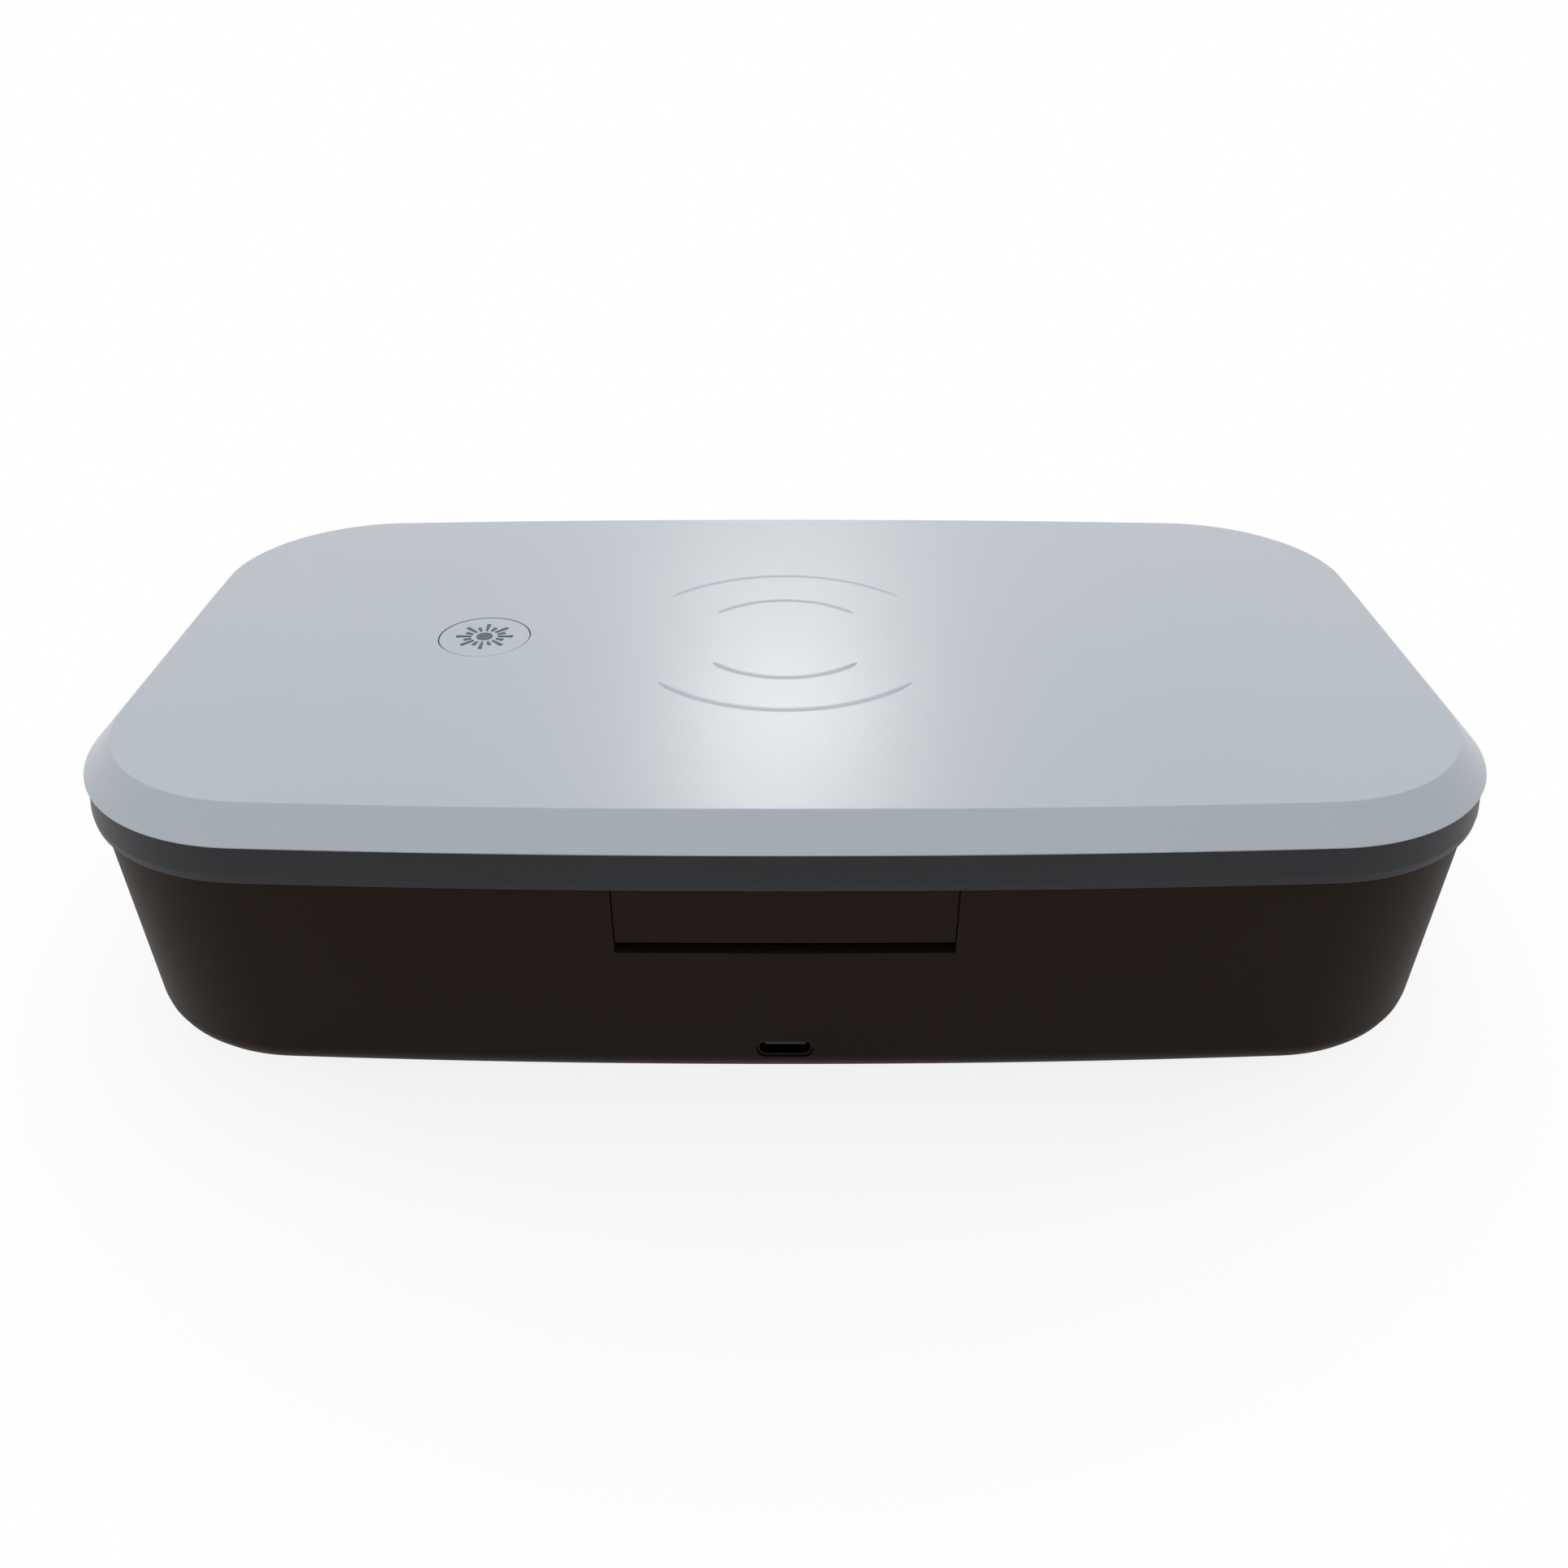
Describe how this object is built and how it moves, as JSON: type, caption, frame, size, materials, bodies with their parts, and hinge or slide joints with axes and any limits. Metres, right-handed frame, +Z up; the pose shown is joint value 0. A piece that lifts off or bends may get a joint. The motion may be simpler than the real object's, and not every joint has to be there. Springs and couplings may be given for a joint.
{
  "type": "uv sanitizer box for phones",
  "caption": "Shallow rounded box with a hinged lid, a mirrored tray and ultraviolet lamps for cleaning a phone, a push button and a charging face on top.",
  "frame": {"origin": "middle of the underside of the feet, on the ground", "axes": "+X along the hinge, which is the box's longest side; +Y from the hinge to the front edge that lifts; +Z up"},
  "size_m": [0.228, 0.128, 0.0515],
  "materials": {
    "lid_plastic": "satin pale blue-grey moulding",
    "band_plastic": "satin dark slate moulding",
    "base_plastic": "satin dark brown moulding",
    "mirror_coat": "plastic with a bright metallised coat",
    "steel": "plain bright steel",
    "black_steel": "blackened steel",
    "rubber": "matt black rubber",
    "circuit_board": "green solder mask on glass-fibre board",
    "component_black": "black moulding compound",
    "inverter_wrap": "yellow tape round a transformer",
    "lamp_glass": "clear quartz tube",
    "window_glass": "clear polished pane",
    "clear_plastic": "clear acrylic",
    "magnet_nickel": "nickel-plated magnet",
    "wire_cover": "soft coloured wire insulation",
    "copper": "enamelled copper winding",
    "ferrite": "dark sintered sheet",
    "symbol_ink": "printed dark slate ink"
  },
  "bodies": {
    "base": {"base_shell": "base_plastic", "inner_tray": "mirror_coat", "tray_screws": "steel", "rubber_feet": "rubber", "main_board": "circuit_board", "board_screws": "steel", "lamp_inverter": "inverter_wrap", "board_parts": "component_black", "port_shell": "black_steel", "port_tongue": "component_black", "base_lamp_tube": "lamp_glass", "base_lamp_caps": "steel", "base_lamp_holders": "rubber", "base_lamp_window": "window_glass", "phone_rails": "clear_plastic", "base_magnets": "magnet_nickel", "lid_sensor": "component_black", "base_wires": "wire_cover", "hinge_pins": "black_steel"},
    "lid": {"lid_cover": "lid_plastic", "lid_frame": "band_plastic", "hinge_leaf": "base_plastic", "leaf_screws": "steel", "lid_panel": "mirror_coat", "lid_lamp_tube": "lamp_glass", "lid_lamp_caps": "steel", "lid_lamp_holders": "rubber", "lid_lamp_window": "window_glass", "charging_coil": "copper", "ferrite_sheet": "ferrite", "charger_board": "circuit_board", "charger_parts": "component_black", "charger_screws": "steel", "button_switch": "component_black", "lid_magnets": "magnet_nickel", "lid_screws": "steel", "lid_bumpers": "rubber", "lid_wires": "wire_cover", "hinge_cables": "wire_cover"},
    "button": {"power_button": "lid_plastic", "sun_symbol": "symbol_ink", "switch_plunger": "steel"}
  },
  "joints": [
    {"name": "lid_hinge", "type": "hinge", "parent": "base", "child": "lid", "pos_m": [0, -0.06025, 0.03225], "axis": [1, 0, 0], "range_deg": [0, 100]},
    {"name": "button_press", "type": "slide", "parent": "lid", "child": "button", "axis": [0, 0, -1], "range_m": [0, 0.0004], "stiffness_N_per_m": 3000, "springref_m": -0.0002}
  ]
}
